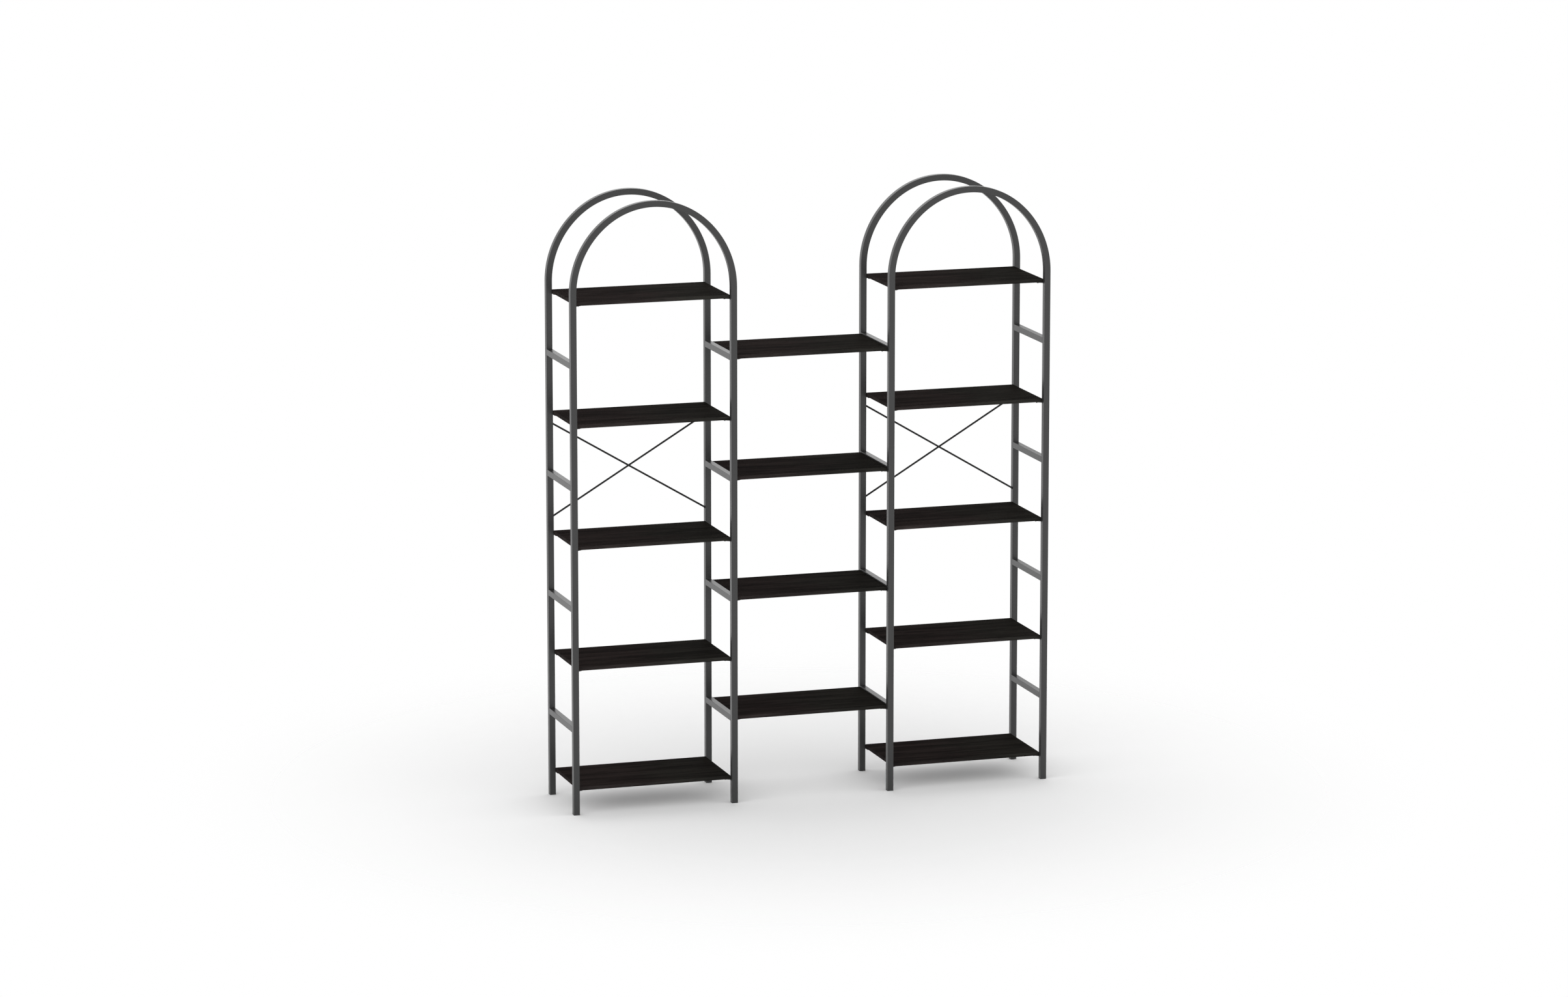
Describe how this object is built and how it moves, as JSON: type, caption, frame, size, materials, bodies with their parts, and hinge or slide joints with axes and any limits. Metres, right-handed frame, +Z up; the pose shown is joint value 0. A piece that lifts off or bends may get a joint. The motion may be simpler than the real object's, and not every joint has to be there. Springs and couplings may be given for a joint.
{
  "type": "arched bookshelf",
  "caption": "Wide open bookshelf: arched steel-tube towers with thin black shelves, joined by a middle bay of shelves set at half height.",
  "frame": {"origin": "on the floor, at the middle of the whole object's box", "axes": "+X to the right, +Y to the back, +Z up"},
  "size_m": [1.631, 0.3128, 1.9999],
  "materials": {
    "frame_steel": "satin charcoal powder coat",
    "brace_steel": "thin matt black coat",
    "shelf_board": "black wood-grain laminate",
    "foot_plastic": "matt black moulding",
    "black_screw": "black zinc",
    "zinc_steel": "zinc plate"
  },
  "bodies": {
    "root": {"left_front_outer_leg": "frame_steel", "left_back_outer_leg": "frame_steel", "left_front_inner_leg": "frame_steel", "left_back_inner_leg": "frame_steel", "right_front_inner_leg": "frame_steel", "right_back_inner_leg": "frame_steel", "right_front_outer_leg": "frame_steel", "right_back_outer_leg": "frame_steel", "left_front_arch": "frame_steel", "left_back_arch": "frame_steel", "right_front_arch": "frame_steel", "right_back_arch": "frame_steel", "left_outer_rung_1": "frame_steel", "left_outer_rung_2": "frame_steel", "left_outer_rung_3": "frame_steel", "left_outer_rung_4": "frame_steel", "left_inner_rung_1": "frame_steel", "left_inner_rung_2": "frame_steel", "left_inner_rung_3": "frame_steel", "left_inner_rung_4": "frame_steel", "right_inner_rung_1": "frame_steel", "right_inner_rung_2": "frame_steel", "right_inner_rung_3": "frame_steel", "right_inner_rung_4": "frame_steel", "right_outer_rung_1": "frame_steel", "right_outer_rung_2": "frame_steel", "right_outer_rung_3": "frame_steel", "right_outer_rung_4": "frame_steel", "left_shelf_1": "shelf_board", "left_shelf_2": "shelf_board", "left_shelf_3": "shelf_board", "left_shelf_4": "shelf_board", "left_shelf_5": "shelf_board", "middle_shelf_1": "shelf_board", "middle_shelf_2": "shelf_board", "middle_shelf_3": "shelf_board", "middle_shelf_4": "shelf_board", "right_shelf_1": "shelf_board", "right_shelf_2": "shelf_board", "right_shelf_3": "shelf_board", "right_shelf_4": "shelf_board", "right_shelf_5": "shelf_board", "left_brace_near": "brace_steel", "left_brace_far": "brace_steel", "right_brace_near": "brace_steel", "right_brace_far": "brace_steel", "left_shelf_tabs": "frame_steel", "middle_shelf_tabs": "frame_steel", "right_shelf_tabs": "frame_steel", "left_shelf_screws": "black_screw", "middle_shelf_screws": "black_screw", "right_shelf_screws": "black_screw", "arch_joiners": "zinc_steel", "joiner_screws": "black_screw", "foot_caps": "foot_plastic"}
  },
  "joints": []
}
